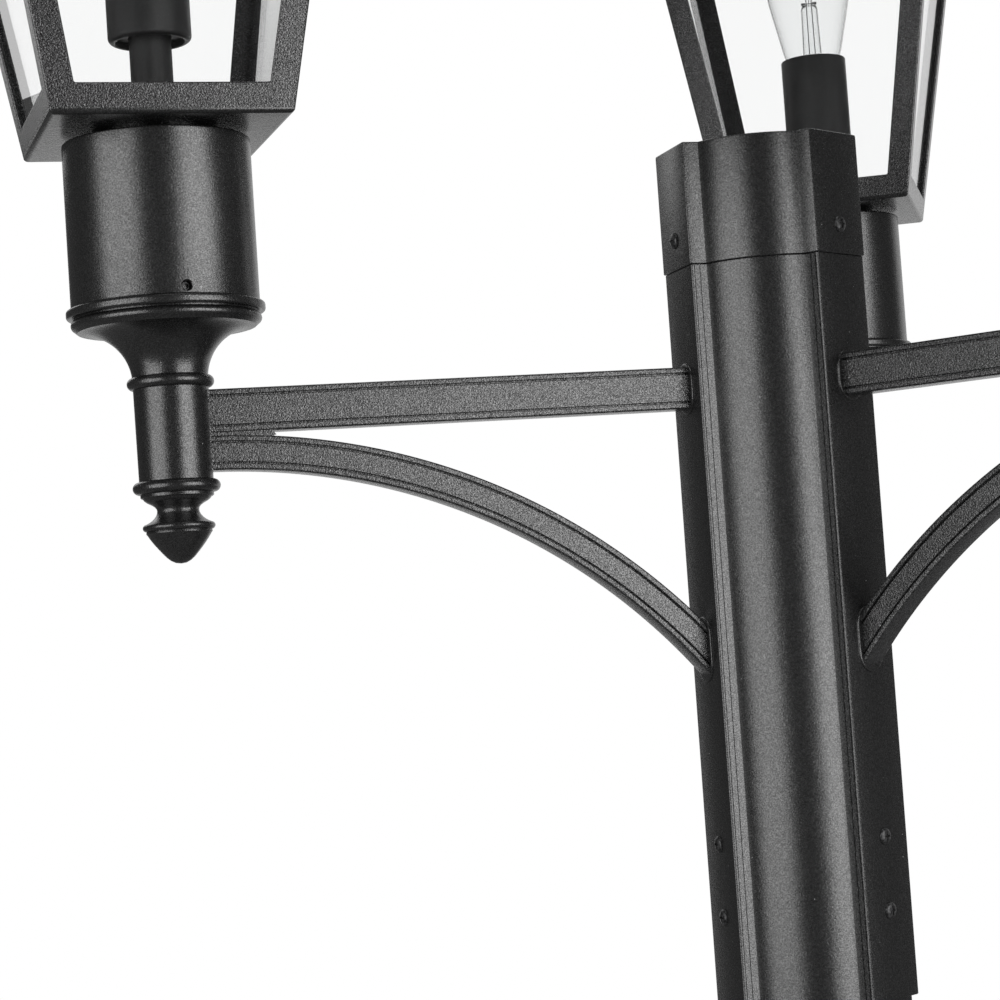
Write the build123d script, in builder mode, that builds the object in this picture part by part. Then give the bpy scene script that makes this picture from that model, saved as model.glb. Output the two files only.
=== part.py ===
from build123d import *
import os
from math import atan, cos, degrees, radians, sin, sqrt

os.makedirs("parts", exist_ok=True)

# Post light with three lanterns, in millimetres. The origin is the centre of the
# base's underside, on the axis of the post, and +Z is up.

# Layout
arm_height = 1750
arm_length = 288.8
sides = {"left": 210, "right": 330, "rear": 90}
rib_count = 3
first_rib = 90
quarter_turns = (0, 90, 180, 270)
seat_gap = 0.3

# Ribbed tube: a round wall with three flat-faced ribs
bulge_radius = 40.7
rib_reach = 44.4
rib_width = 35.4
groove_reach = 40.5
groove_width = 0.8
groove_depth = 0.5

# Sleeve, cap and pole, heights from the middle of the arms
sleeve_wall = 2.0
sleeve_drop = 287.6
sleeve_rise = 57.7
cap_height = 57.6
cap_proud = 0.65
cap_top = 3.0
pole_gap = 0.25
pole_wall = 2.5
pole_rise = 100

# Screws on the rib faces
screw_head_radius = 3.9
screw_head_height = 1.9
screw_head_sides = 12
cap_screw_rise = 71.5
sleeve_screw_drops = (213, 247)

# Base
flange_reach = 122
flange_thickness = 14
spigot_height = 80
spigot_gap = 0.3
cable_hole_radius = 31.5
anchor_count = 3
anchor_circle = 190
anchor_hole_radius = 6.5
anchor_start = 30
bolt_height = 52
bolt_head_width = 13
bolt_head_height = 5

# Base cover, six-sided, measured from the post's axis to its flats
cover_foot = 138
cover_foot_height = 20
cover_step = 10
cover_shoulder = 64
cover_shoulder_height = 132
cover_collar = 52
cover_height = 190
cover_wall = 4
cover_gap = 0.5
cover_screw_height = 172
cover_screw_width = 9
cover_screw_length = 4

# Arm bar, a rimmed flat bar with a rounded foot
bar_height = 19.0
bar_thickness = 8.95
rim_height = 2.6
web_recess = 0.8
foot_thickness = 2.6
foot_width = 12
bar_foot_height = 23
collar_gap = 0.1

# Arch brace, heights from the middle of the arms
arch_centre_inset = 17.1
arch_top_drop = 12.5
arch_outer_radius = 310.3
arch_depth = 15.5
brace_foot_height = 30
gusset_length = 29.5
gusset_notch = 1.6

# Turned hub, heights from the middle of the arms
ring_radius = 44.3
ring_top = 46.8
ring_height = 4.2
step_radius = 42.0
step_height = 6.1
bell_radius = 21.0
bell_steps = 4
bell_top_radius = 37.5
collar_radius = 16.3
bead_radius = 19.4
bead_height = 5.6
collar_drop = 31.0

# Acorn finial under the hub
acorn_top_radius = 12.0
neck_radius = 9.0
neck_drop = 43.9
acorn_flange_radius = 16.1
acorn_flange_drop = 51.4
acorn_flange_height = 3.0
acorn_radius = 14.2
acorn_tip_radius = 4.2
acorn_tip_drop = 67.9

# Fitter cup
cup_radius = 42.0
tray_height = 123.06

# Lantern cage, square and wider at the top
cage_half_width = 52.74
cage_taper = 0.1663
cage_height = 265
angle_width = 12.5
angle_wall = 2.0
tray_thickness = 2.0
bottom_rail = 13.2
top_rail = 12
pane_thickness = 2.5
pane_gap = 0.3
pane_bottom = 2.3
pane_head_gap = 1

# Stem, lamp holder and lamp, heights from the tray's underside
stem_radius = 9.5
holder_bottom = 44.5
holder_height = 49.5
holder_radius = 18.75
holder_bore_depth = 34
lamp_cap_radius = 13.1
lamp_gap = 0.5
lamp_cap_length = 27
lamp_neck_radius = 16.5
lamp_body_radius = 25.0
lamp_body_height = 134
lamp_top_height = 200

# Roof, heights from the top of the cage
eave_overhang = 11
eave_thickness = 4
eave_ring = 16
roof_rise = 75
roof_top_half = 38
roof_skin = 3
vent_half = 30
vent_height = 20
vent_wall = 2.5
vent_slot_width = 8
vent_slot_height = 12
vent_slots = 3
vent_slot_pitch = 15
vent_cap_half = 38
vent_cap_top_half = 11
vent_cap_rise = 18

# Roof strap, its stud and the finial nut
strap_width = 20
strap_thickness = 3
strap_drop = 2
stud_radius = 3.0
stud_hole_gap = 0.4
stud_grip = 14
stud_end_gap = 1
finial_foot_half = 8
finial_foot_height = 5
finial_half = 12
finial_head_height = 8
finial_height = 34
finial_tip_half = 1.5
finial_bore_gap = 0.05

# Values that follow from the ones above
pole_inset = sleeve_wall + pole_gap
bore_inset = pole_inset + pole_wall
sleeve_base = arm_height - sleeve_drop
cap_base = arm_height + sleeve_rise
pole_face = rib_reach - pole_inset
arch_inner_radius = arch_outer_radius - arch_depth
arch_centre_reach = arm_length - arch_centre_inset
arch_centre_drop = arch_outer_radius + arch_top_drop
arch_centre = (arch_centre_reach, -arch_centre_drop)
bar_start = rib_reach + foot_thickness
collar_reach = arm_length - collar_radius
cage_slope = atan(cage_taper)
tray_base = arm_height + tray_height
cage_top = tray_base + cage_height
holder_base = tray_base + holder_bottom
holder_top = holder_base + holder_height
roof_peak = cage_top + roof_rise + vent_height + vent_cap_rise


def direction(azimuth):
    """Level unit vector at an azimuth."""
    angle = radians(azimuth)
    return Vector(cos(angle), sin(angle), 0)


def arm_plane(azimuth):
    """Upright plane through the post's axis, x out along the arm and y up."""
    return Plane((0, 0, arm_height), x_dir=direction(azimuth), z_dir=direction(azimuth - 90))


def rib_plane(azimuth, reach, height):
    """Upright plane on a rib, facing away from the post, with y up."""
    out = direction(azimuth)
    return Plane(out * reach + Vector(0, 0, height), x_dir=direction(azimuth + 90), z_dir=out)


def lantern_plane(azimuth, height, turn=0):
    """Level plane on a lantern's axis, x pointing away from the post, or turned from there."""
    centre = direction(azimuth) * arm_length + Vector(0, 0, height)
    return Plane(centre, x_dir=direction(azimuth + turn))


def turning_plane(azimuth, height):
    """Upright plane on a lantern's axis for half profiles, x out and y up."""
    centre = direction(azimuth) * arm_length + Vector(0, 0, height)
    return Plane(centre, x_dir=direction(azimuth), z_dir=direction(azimuth - 90))


def lantern_axis(azimuth):
    """Upright axis through a lantern."""
    return Axis(direction(azimuth) * arm_length, (0, 0, 1))


def post_section(inset, height):
    """The ribbed tube's outline, with every face moved in by the inset."""
    with BuildSketch(Plane.XY.offset(height)) as section:
        Circle(bulge_radius - inset)
        with PolarLocations((rib_reach - inset) / 2, rib_count, start_angle=first_rib):
            Rectangle(rib_reach - inset, rib_width - 2 * inset)
    return section.sketch


def cage_half(height):
    """Half the cage's width at a height above the tray's underside."""
    return cage_half_width + cage_taper * height


def face_plane(azimuth, turn):
    """Plane on one sloping side of a cage, x level and y up the slope from the tray's underside."""
    out = direction(azimuth + turn)
    foot_point = direction(azimuth) * arm_length + out * cage_half_width + Vector(0, 0, tray_base)
    outward = out * cos(cage_slope) - Vector(0, 0, sin(cage_slope))
    return Plane(foot_point, x_dir=direction(azimuth + turn + 90), z_dir=outward)


def side_panel(low, high, margin, mode=Mode.ADD):
    """Trapezoid in a sketch on a sloping side, from one height to another and a margin inside its edges."""
    low_half = cage_half(low) - margin
    high_half = cage_half(high) - margin
    low_edge = low / cos(cage_slope)
    high_edge = high / cos(cage_slope)
    Polygon(
        (-low_half, low_edge),
        (low_half, low_edge),
        (high_half, high_edge),
        (-high_half, high_edge),
        align=None,
        mode=mode,
    )


def square(azimuth, height, half):
    """Level square on a lantern's axis."""
    with BuildSketch(lantern_plane(azimuth, height)) as section:
        Rectangle(2 * half, 2 * half)
    return section.sketch


def six_sided(to_flat, height):
    """Level hexagon on the post's axis with its flats across the ribs."""
    with BuildSketch(Plane.XY.offset(height)) as section:
        RegularPolygon(to_flat, 6, major_radius=False)
    return section.sketch


def slope(low_half, high_half, rise):
    """Angle in degrees by which a side leans in between two half widths."""
    return degrees(atan((low_half - high_half) / rise))


def arch_height(radius, reach):
    """Height of an arc of the arch at a distance from the post's axis, from the middle of the arms."""
    return sqrt(radius**2 - (arch_centre_reach - reach) ** 2) - arch_centre_drop


def bell_points(bottom):
    """Points on the bell's hollow quarter circle, from its top edge down to the neck."""
    turns = [radians(90 * step / bell_steps) for step in range(bell_steps + 1)]
    return [(bell_top_radius - bell_radius * sin(turn), bottom + bell_radius * cos(turn)) for turn in turns]


def arch_band(plane, outer, inner, start):
    """Part of a ring about the arch's centre, between the foot and the hub's axis."""
    with BuildSketch(plane) as band:
        with Locations(arch_centre):
            Circle(outer)
            Circle(inner, mode=Mode.SUBTRACT)
        with Locations(((start + arm_length) / 2, -arch_centre_drop / 2)):
            Rectangle(arm_length - start, arch_centre_drop, mode=Mode.INTERSECT)
    return band.sketch


def cut_to_collar(azimuth):
    """Cut the end of an arm's bar to the hub's round collar."""
    with BuildSketch(lantern_plane(azimuth, arm_height)) as disc:
        Circle(collar_radius + collar_gap)
    extrude(disc.sketch, amount=bar_height + arch_depth, both=True, mode=Mode.SUBTRACT)


def rib_foot(azimuth, height, length):
    """Rounded foot that seats on a rib's face."""
    with BuildSketch(rib_plane(azimuth, rib_reach, height)) as shape:
        SlotOverall(length, foot_width, rotation=90)
    extrude(shape.sketch, amount=foot_thickness)


# Pole
pole_length = arm_height + pole_rise - flange_thickness
with BuildPart() as pole:
    extrude(post_section(pole_inset, flange_thickness), amount=pole_length)
    extrude(post_section(bore_inset, flange_thickness), amount=pole_length, mode=Mode.SUBTRACT)
pole.part.label = "pole"
export_step(pole.part, "parts/pole.step")

# Arm sleeve, with a fine groove along both sides of every rib
with BuildPart() as arm_sleeve:
    extrude(post_section(0, sleeve_base), amount=sleeve_drop + sleeve_rise)
    extrude(post_section(sleeve_wall, sleeve_base), amount=sleeve_drop + sleeve_rise, mode=Mode.SUBTRACT)
    with BuildSketch(Plane.XY.offset(sleeve_base)):
        with PolarLocations(groove_reach, rib_count, start_angle=first_rib):
            with Locations((0, rib_width / 2), (0, -rib_width / 2)):
                Rectangle(groove_width, 2 * groove_depth)
    extrude(amount=sleeve_drop + sleeve_rise, mode=Mode.SUBTRACT)
arm_sleeve.part.label = "arm_sleeve"
export_step(arm_sleeve.part, "parts/arm_sleeve.step")

# Post cap, closed on top and hollow over the pole's end
with BuildPart() as post_cap:
    extrude(post_section(-cap_proud, cap_base), amount=cap_height)
    extrude(post_section(sleeve_wall, cap_base), amount=cap_height - cap_top, mode=Mode.SUBTRACT)
post_cap.part.label = "post_cap"
export_step(post_cap.part, "parts/post_cap.step")

# Cap screws, one head on each rib of the cap
with BuildPart() as cap_screws:
    for azimuth in sides.values():
        with BuildSketch(rib_plane(azimuth, rib_reach + cap_proud, arm_height + cap_screw_rise)):
            RegularPolygon(screw_head_radius, screw_head_sides)
    extrude(amount=screw_head_height)
cap_screws.part.label = "cap_screws"
export_step(cap_screws.part, "parts/cap_screws.step")

# Sleeve screws, two heads on each rib below the braces
with BuildPart() as sleeve_screws:
    for azimuth in sides.values():
        for drop in sleeve_screw_drops:
            with BuildSketch(rib_plane(azimuth, rib_reach, arm_height - drop)):
                RegularPolygon(screw_head_radius, screw_head_sides)
    extrude(amount=screw_head_height)
sleeve_screws.part.label = "sleeve_screws"
export_step(sleeve_screws.part, "parts/sleeve_screws.step")

# Base flange, six-sided, with holes for the anchor bolts and the cable
with BuildPart() as base_flange:
    with BuildSketch():
        RegularPolygon(flange_reach, 6, major_radius=False)
        Circle(cable_hole_radius, mode=Mode.SUBTRACT)
        with PolarLocations(anchor_circle / 2, anchor_count, start_angle=anchor_start):
            Circle(anchor_hole_radius, mode=Mode.SUBTRACT)
    extrude(amount=flange_thickness)
base_flange.part.label = "base_flange"
export_step(base_flange.part, "parts/base_flange.step")

# Spigot on the flange, which the pole slips over
with BuildPart() as pole_spigot:
    extrude(post_section(bore_inset + spigot_gap, flange_thickness), amount=spigot_height)
    with BuildSketch(Plane.XY.offset(flange_thickness)):
        Circle(cable_hole_radius)
    extrude(amount=spigot_height, mode=Mode.SUBTRACT)
pole_spigot.part.label = "pole_spigot"
export_step(pole_spigot.part, "parts/pole_spigot.step")

# Bolts that hold the pole to the spigot, one head on each rib
with BuildPart() as flange_bolts:
    for azimuth in sides.values():
        with BuildSketch(rib_plane(azimuth, pole_face, bolt_height)):
            RegularPolygon(bolt_head_width / 2, 6, major_radius=False)
    extrude(amount=bolt_head_height)
flange_bolts.part.label = "flange_bolts"
export_step(flange_bolts.part, "parts/flange_bolts.step")

# Base cover: a hollow six-sided bell over the flange, with a collar round the pole
cover_ledge = cover_foot - cover_step
cover_rise = cover_shoulder_height - cover_foot_height
cover_slope = slope(cover_ledge, cover_shoulder, cover_rise)
inner_foot_height = cover_foot_height - cover_wall
with BuildPart() as base_cover:
    extrude(six_sided(cover_foot, 0), amount=cover_foot_height)
    extrude(six_sided(cover_ledge, cover_foot_height), amount=cover_rise, taper=cover_slope)
    extrude(six_sided(cover_collar, cover_shoulder_height), amount=cover_height - cover_shoulder_height)
    extrude(six_sided(cover_foot - cover_wall, 0), amount=inner_foot_height, mode=Mode.SUBTRACT)
    inner_ledge = six_sided(cover_ledge - cover_wall, inner_foot_height)
    extrude(inner_ledge, amount=cover_rise, taper=cover_slope, mode=Mode.SUBTRACT)
    extrude(post_section(pole_inset - cover_gap, 0), amount=cover_height, mode=Mode.SUBTRACT)
base_cover.part.label = "base_cover"
export_step(base_cover.part, "parts/base_cover.step")

# Set screws in the cover's collar
with BuildPart() as base_cover_screws:
    for azimuth in sides.values():
        with BuildSketch(rib_plane(azimuth, cover_collar, cover_screw_height)):
            RegularPolygon(cover_screw_width / 2, 6, major_radius=False)
    extrude(amount=cover_screw_length)
base_cover_screws.part.label = "base_cover_screws"
export_step(base_cover_screws.part, "parts/base_cover_screws.step")

# Arm bars, each with a rim along both edges and a foot on its rib
bar_length = arm_length - bar_start
bar_middle = bar_start + bar_length / 2
rim_offset = (bar_height - rim_height) / 2
with BuildPart() as arm_bars:
    for azimuth in sides.values():
        with BuildSketch(arm_plane(azimuth)) as web:
            with Locations((bar_middle, 0)):
                Rectangle(bar_length, bar_height)
        extrude(web.sketch, amount=bar_thickness / 2 - web_recess, both=True)
        with BuildSketch(arm_plane(azimuth)) as rims:
            with Locations((bar_middle, rim_offset), (bar_middle, -rim_offset)):
                Rectangle(bar_length, rim_height)
        extrude(rims.sketch, amount=bar_thickness / 2, both=True)
        cut_to_collar(azimuth)
        rib_foot(azimuth, arm_height, bar_foot_height)
arm_bars.part.label = "arm_bars"
export_step(arm_bars.part, "parts/arm_bars.step")

# Arch braces, each with a gusset that fills the corner at the hub
root_top = arch_height(arch_outer_radius, bar_start)
root_bottom = arch_height(arch_inner_radius, bar_start)
gusset_start = collar_reach - gusset_length
gusset_bottom = arch_height(arch_outer_radius, gusset_start) - rim_height / 2
gusset_height = -bar_height / 2 - gusset_bottom
with BuildPart() as arm_braces:
    for azimuth in sides.values():
        plane = arm_plane(azimuth)
        web = arch_band(plane, arch_outer_radius, arch_inner_radius, bar_start)
        extrude(web, amount=bar_thickness / 2 - web_recess, both=True)
        outer_rim = arch_band(plane, arch_outer_radius, arch_outer_radius - rim_height, bar_start)
        extrude(outer_rim, amount=bar_thickness / 2, both=True)
        inner_rim = arch_band(plane, arch_inner_radius + rim_height, arch_inner_radius, bar_start)
        extrude(inner_rim, amount=bar_thickness / 2, both=True)
        with BuildSketch(plane) as gusset:
            with Locations(((gusset_start + arm_length) / 2, gusset_bottom + gusset_height / 2)):
                Rectangle(arm_length - gusset_start, gusset_height)
            with Locations((gusset_start, -bar_height / 2 - gusset_notch)):
                Circle(gusset_notch, mode=Mode.SUBTRACT)
        extrude(gusset.sketch, amount=bar_thickness / 2, both=True)
        cut_to_collar(azimuth)
        rib_foot(azimuth, arm_height + (root_top + root_bottom) / 2, brace_foot_height)
arm_braces.part.label = "arm_braces"
export_step(arm_braces.part, "parts/arm_braces.step")

# Turned hubs at the ends of the arms
ring_bottom = ring_top - ring_height
bell_top = ring_bottom - step_height
bell_bottom = bell_top - bell_radius
bead_bottom = bell_bottom - bead_height
lower_bead_bottom = -collar_drop - bead_height
with BuildPart() as arm_hubs:
    for azimuth in sides.values():
        with BuildSketch(turning_plane(azimuth, arm_height)) as hub_profile:
            with BuildLine():
                Polyline(
                    (0, ring_top),
                    (ring_radius, ring_top),
                    (ring_radius, ring_bottom),
                    (step_radius, ring_bottom),
                    (step_radius, bell_top),
                    *bell_points(bell_bottom),
                    (bead_radius, bell_bottom - bead_height / 2),
                    (collar_radius, bead_bottom),
                    (collar_radius, -collar_drop),
                    (bead_radius, -collar_drop - bead_height / 2),
                    (collar_radius, lower_bead_bottom),
                    (0, lower_bead_bottom),
                    close=True,
                )
            make_face()
        revolve(hub_profile.sketch, axis=lantern_axis(azimuth))
arm_hubs.part.label = "arm_hubs"
export_step(arm_hubs.part, "parts/arm_hubs.step")

# Acorn finials under the hubs
acorn_head_drop = acorn_flange_drop + acorn_flange_height
with BuildPart() as acorn_finials:
    for azimuth in sides.values():
        with BuildSketch(turning_plane(azimuth, arm_height)) as acorn_profile:
            with BuildLine():
                Polyline(
                    (0, lower_bead_bottom),
                    (acorn_top_radius, lower_bead_bottom),
                    (neck_radius, -neck_drop),
                    (acorn_flange_radius, -acorn_flange_drop),
                    (acorn_flange_radius, -acorn_head_drop),
                    (acorn_radius, -acorn_head_drop),
                    (acorn_tip_radius, -acorn_tip_drop),
                    (0, -acorn_tip_drop),
                    close=True,
                )
            make_face()
        revolve(acorn_profile.sketch, axis=lantern_axis(azimuth))
acorn_finials.part.label = "acorn_finials"
export_step(acorn_finials.part, "parts/acorn_finials.step")

# Fitter cups, which seat on the hubs' rings and carry the lanterns
with BuildPart() as fitter_cups:
    for azimuth in sides.values():
        with BuildSketch(lantern_plane(azimuth, arm_height + ring_top)):
            Circle(cup_radius)
    extrude(amount=tray_height - ring_top)
fitter_cups.part.label = "fitter_cups"
export_step(fitter_cups.part, "parts/fitter_cups.step")

# Stem tubes between the trays and the lamp holders
with BuildPart() as stem_tubes:
    for azimuth in sides.values():
        with BuildSketch(lantern_plane(azimuth, tray_base + tray_thickness)):
            Circle(stem_radius)
    extrude(amount=holder_bottom - tray_thickness)
stem_tubes.part.label = "stem_tubes"
export_step(stem_tubes.part, "parts/stem_tubes.step")

# Lamp holders, open on top for the lamp's cap
with BuildPart() as lamp_holders:
    for azimuth in sides.values():
        with BuildSketch(lantern_plane(azimuth, holder_base)):
            Circle(holder_radius)
    extrude(amount=holder_height)
    for azimuth in sides.values():
        with BuildSketch(lantern_plane(azimuth, holder_top)):
            Circle(lamp_cap_radius + lamp_gap)
    extrude(amount=-holder_bore_depth, mode=Mode.SUBTRACT)
lamp_holders.part.label = "lamp_holders"
export_step(lamp_holders.part, "parts/lamp_holders.step")

for name, azimuth in sides.items():
    # Lantern cage: a tray, a bottom rail, four corner angles and a top rail
    with BuildPart() as lantern_cage:
        extrude(square(azimuth, tray_base, cage_half_width), amount=tray_thickness)
        for turn in quarter_turns:
            with BuildSketch(face_plane(azimuth, turn)):
                side_panel(0, cage_height, 0)
                side_panel(bottom_rail, cage_height - top_rail, angle_width, Mode.SUBTRACT)
            extrude(amount=-angle_wall)
        split(bisect_by=Plane.XY.offset(cage_top), keep=Keep.BOTTOM)
    lantern_cage.part.label = f"lantern_cage_{name}"
    export_step(lantern_cage.part, f"parts/lantern_cage_{name}.step")

    # Glass panes behind the four openings
    pane_margin = angle_wall + pane_thickness + 2 * pane_gap
    pane_depth = angle_wall + pane_gap
    pane_top = cage_height - strap_drop - strap_thickness - pane_head_gap
    for number, turn in enumerate(quarter_turns, start=1):
        with BuildPart() as glass_pane:
            with BuildSketch(face_plane(azimuth, turn).offset(-pane_depth)):
                side_panel(pane_bottom, pane_top, pane_margin)
            extrude(amount=-pane_thickness)
        glass_pane.part.label = f"glass_pane_{name}_{number}"
        export_step(glass_pane.part, f"parts/glass_pane_{name}_{number}.step")

    # Lamp: a threaded cap and a tapering clear bulb
    cap_low = holder_bottom + holder_height - lamp_cap_length
    cap_high = cap_low + lamp_cap_length
    with BuildPart() as lamp:
        with BuildSketch(turning_plane(azimuth, tray_base)) as lamp_profile:
            Polygon(
                (0, cap_low),
                (lamp_cap_radius, cap_low),
                (lamp_cap_radius, cap_high),
                (lamp_neck_radius, cap_high),
                (lamp_body_radius, lamp_body_height),
                (lamp_body_radius, lamp_top_height),
                (0, lamp_top_height),
                align=None,
            )
        revolve(lamp_profile.sketch, axis=lantern_axis(azimuth))
    lamp.part.label = f"lamp_{name}"
    export_step(lamp.part, f"parts/lamp_{name}.step")

    # Roof: an eave that rests on the cage, a hollow hip, a slotted vent and a small cap
    eave_half = cage_half(cage_height) + eave_overhang
    hip_base = cage_top + eave_thickness
    hip_rise = roof_rise - eave_thickness
    hip_slope = slope(eave_half, roof_top_half, hip_rise)
    vent_base = cage_top + roof_rise
    vent_top = vent_base + vent_height
    with BuildPart() as roof:
        extrude(square(azimuth, cage_top, eave_half), amount=eave_thickness)
        extrude(square(azimuth, hip_base, eave_half), amount=hip_rise, taper=hip_slope)
        extrude(square(azimuth, cage_top, eave_half - eave_ring), amount=eave_thickness, mode=Mode.SUBTRACT)
        hollow = square(azimuth, hip_base, eave_half - roof_skin)
        extrude(hollow, amount=hip_rise - roof_skin, taper=hip_slope, mode=Mode.SUBTRACT)
        extrude(square(azimuth, vent_base, vent_half), amount=vent_height)
        throat = square(azimuth, vent_base - roof_skin, vent_half - vent_wall)
        extrude(throat, amount=vent_height + roof_skin, mode=Mode.SUBTRACT)
        for turn in (0, 90):
            with BuildSketch(lantern_plane(azimuth, vent_base + vent_height / 2, turn)):
                with GridLocations(0, vent_slot_pitch, 1, vent_slots):
                    Rectangle(2 * vent_half + vent_wall, vent_slot_width)
            extrude(amount=vent_slot_height / 2, both=True, mode=Mode.SUBTRACT)
        cap_slope = slope(vent_cap_half, vent_cap_top_half, vent_cap_rise)
        extrude(square(azimuth, vent_top, vent_cap_half), amount=vent_cap_rise, taper=cap_slope)
        with BuildSketch(lantern_plane(azimuth, vent_top)):
            Circle(stud_radius + stud_hole_gap)
        extrude(amount=vent_cap_rise, mode=Mode.SUBTRACT)
    roof.part.label = f"roof_{name}"
    export_step(roof.part, f"parts/roof_{name}.step")

    # Roof strap across the top rail, with the stud that the finial screws onto
    strap_base = cage_top - strap_drop - strap_thickness
    strap_half = cage_half(strap_base - tray_base) - angle_wall - seat_gap
    with BuildPart() as roof_strap:
        with BuildSketch(lantern_plane(azimuth, strap_base)):
            Rectangle(2 * strap_half, strap_width)
        extrude(amount=strap_thickness)
        with BuildSketch(lantern_plane(azimuth, strap_base + strap_thickness)):
            Circle(stud_radius)
        extrude(amount=strap_drop + roof_peak - cage_top + stud_grip - stud_end_gap)
    roof_strap.part.label = f"roof_strap_{name}"
    export_step(roof_strap.part, f"parts/roof_strap_{name}.step")

    # Finial nut that holds the roof down
    with BuildPart() as roof_finial:
        extrude(square(azimuth, roof_peak, finial_foot_half), amount=finial_foot_height)
        head_base = roof_peak + finial_foot_height
        extrude(square(azimuth, head_base, finial_half), amount=finial_head_height)
        spire = finial_height - finial_foot_height - finial_head_height
        spire_foot = square(azimuth, head_base + finial_head_height, finial_half)
        extrude(spire_foot, amount=spire, taper=slope(finial_half, finial_tip_half, spire))
        with BuildSketch(lantern_plane(azimuth, roof_peak)):
            Circle(stud_radius + finial_bore_gap)
        extrude(amount=stud_grip, mode=Mode.SUBTRACT)
    roof_finial.part.label = f"roof_finial_{name}"
    export_step(roof_finial.part, f"parts/roof_finial_{name}.step")
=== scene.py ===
import math

import bmesh
import bpy
from mathutils import Euler, Matrix, Vector


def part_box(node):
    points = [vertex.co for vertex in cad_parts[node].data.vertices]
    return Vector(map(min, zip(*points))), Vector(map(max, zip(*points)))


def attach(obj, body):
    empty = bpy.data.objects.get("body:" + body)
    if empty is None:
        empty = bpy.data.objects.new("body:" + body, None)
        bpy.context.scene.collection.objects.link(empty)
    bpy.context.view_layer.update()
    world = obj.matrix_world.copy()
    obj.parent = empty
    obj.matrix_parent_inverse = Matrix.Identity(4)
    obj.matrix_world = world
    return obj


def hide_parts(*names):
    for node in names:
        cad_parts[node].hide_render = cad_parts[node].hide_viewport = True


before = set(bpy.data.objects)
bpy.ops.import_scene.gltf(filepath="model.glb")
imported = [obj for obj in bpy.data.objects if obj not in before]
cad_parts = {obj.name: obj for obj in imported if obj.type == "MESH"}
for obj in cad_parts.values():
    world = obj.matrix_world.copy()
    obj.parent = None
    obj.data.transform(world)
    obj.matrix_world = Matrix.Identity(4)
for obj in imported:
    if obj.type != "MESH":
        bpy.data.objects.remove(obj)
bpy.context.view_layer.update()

# Sizes are in metres, written as millimetres times MM. Heights on an arm or a hub are
# measured from the middle of the arms, and heights on a lantern from its tray's underside.
MM = 0.001
SIDES = ("left", "right", "rear")
TURNS = (0, 90, 180, 270)
QUADRANTS = ((1, 1), (-1, 1), (-1, -1), (1, -1))
RIB_AZIMUTHS = (90, 210, 330)
ROUND = 96
SMOOTH_ANGLE = 35

# Camera, at the photo's viewing angle
CAMERA_PLACE = (0.16018, -1.24289, 1.63393)
CAMERA_TILT = (93.288, 3.880, 13.701)
CAMERA_LENS = 94.47
SENSOR = 36
CLIP_START = 0.05

# Ribbed tubes
BULGE_RADIUS = 40.7 * MM
RIB_REACH = 44.4 * MM
RIB_WIDTH = 35.4 * MM
RIB_CORNER = 0.7 * MM
SLEEVE_WALL = 2.0 * MM
POLE_INSET = 2.25 * MM
POLE_WALL = 2.5 * MM
CAP_PROUD = 0.65 * MM
CAP_TOP = 3.0 * MM
TUBE_EDGE = 0.35 * MM
TUBE_SMOOTH_ANGLE = 28
SLEEVE_TOP_GAP = 0.1 * MM
BULGE_STEPS = 24
GROOVES = (42.9 * MM, 40.2 * MM)
GROOVE_HALF = 0.26 * MM
GROOVE_DEPTH = 0.45 * MM
SLEEVE_SCREW_INSET = 3.9 * MM

# Arms
BAR_HALF_HEIGHT = 9.8 * MM
BAR_HALF_WIDTH = 6.8 * MM
BAR_RAISED = 0.9 * MM
BAR_LOWERED = 1.2 * MM
RIM_HEIGHT = 2.6 * MM
LINE_WIDTH = 0.85 * MM
LINE_DEPTH = 2.6 * MM
WEB_RECESS = 0.45 * MM
EDGE_ROUND = 0.9 * MM
FOOT_HALF_WIDTH = 9.2 * MM
BAR_FOOT_HALF = 12.2 * MM
BRACE_FOOT_HALF = 15.4 * MM
ARM_START = RIB_REACH + 0.5 * MM
SEAM_THICKNESS = 0.9 * MM
SEAM_PROUD = 0.35 * MM
ARCH_CENTRE = (271.7 * MM, -322.8 * MM)
ARCH_RADIUS = 302.95 * MM
ARCH_HALF = 7.75 * MM
ARCH_STEPS = 56
GUSSET_LENGTH = 29.5 * MM
GUSSET_TOP = -9.6 * MM
GUSSET_HALF_WIDTH = 6.3 * MM
GUSSET_SINK = 0.3 * MM
SLIT_RADIUS = 1.6 * MM

# Turned hub
COLLAR_RADIUS = 16.3 * MM
COLLAR_GAP = 0.1 * MM
SET_SCREW_RADIUS = 2.2 * MM
SET_SCREW_MOUTH = 2.7 * MM
SET_SCREW_HEIGHT = 50.3 * MM
SET_SCREW_REACH = 37 * MM
SET_SCREW_TURN = {"left": 94, "right": 94, "rear": 64}

# Lantern
CAGE_HALF = 52.74 * MM
CAGE_TAPER = 0.1663
ANGLE_WIDTH = 12.5 * MM
ANGLE_WALL = 2.0 * MM
BOTTOM_RAIL = 13.2 * MM
TOP_RAIL = 12.0 * MM
PANE_THICKNESS = 2.5 * MM
PANE_GAP = 0.3 * MM
PANE_BASE = 2.3 * MM
PANE_HEAD_GAP = 1 * MM
PANE_BEVEL = 0.3 * MM
TRAY_THICKNESS = 2.2 * MM
TRAY_CORNER = 0.8 * MM
CAGE_FOOT = 1.5 * MM
CAGE_BEVEL = 0.7 * MM

# Lamp, in millimetres
CROWN_BASE = 160
CROWN_RADIUS = 25
CROWN_STRETCH = 1.55
GLASS_WALL = 0.6
LEAD_RADIUS = 0.3
SUPPORT_RADIUS = 0.22
FILAMENT_RADIUS = 0.25
WIRE_SIDES = 8


def azimuth_of(side):
    """Direction of a lantern from the post, in radians."""
    low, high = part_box(f"lamp_{side}")
    return math.atan2(low.y + high.y, low.x + high.x)


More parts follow.
